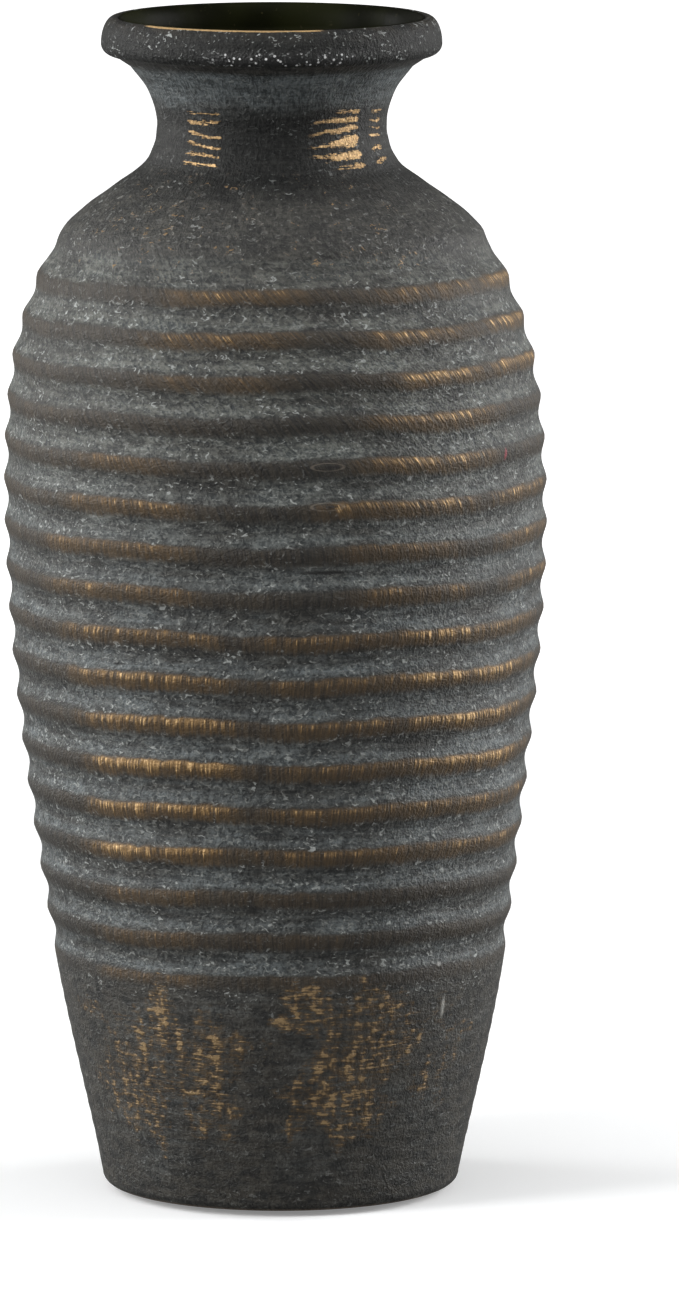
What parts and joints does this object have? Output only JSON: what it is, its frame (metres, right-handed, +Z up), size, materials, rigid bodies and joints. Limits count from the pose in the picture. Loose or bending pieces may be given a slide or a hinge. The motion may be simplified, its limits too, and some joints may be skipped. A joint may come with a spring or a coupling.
{
  "type": "stoneware vase",
  "caption": "Tall stoneware vase with a narrow neck, a rolled lip and a belly ringed with finger grooves, for holding flower stems in water.",
  "frame": {"origin": "on the ground plane under the pads, at the centre of the foot", "axes": "+Z up along the vase's axis; -Y is the side the picture shows"},
  "size_m": [0.14, 0.14, 0.305],
  "materials": {
    "charcoal_stoneware": "satin charcoal slip with worn bronze brushwork",
    "olive_black_glaze": "glossy",
    "black_felt": "pressed felt"
  },
  "bodies": {
    "root": {"stoneware_body": "charcoal_stoneware", "inner_glaze": "olive_black_glaze", "felt_pad_front_left": "black_felt", "felt_pad_front_right": "black_felt", "felt_pad_back_left": "black_felt", "felt_pad_back_right": "black_felt"}
  },
  "joints": []
}
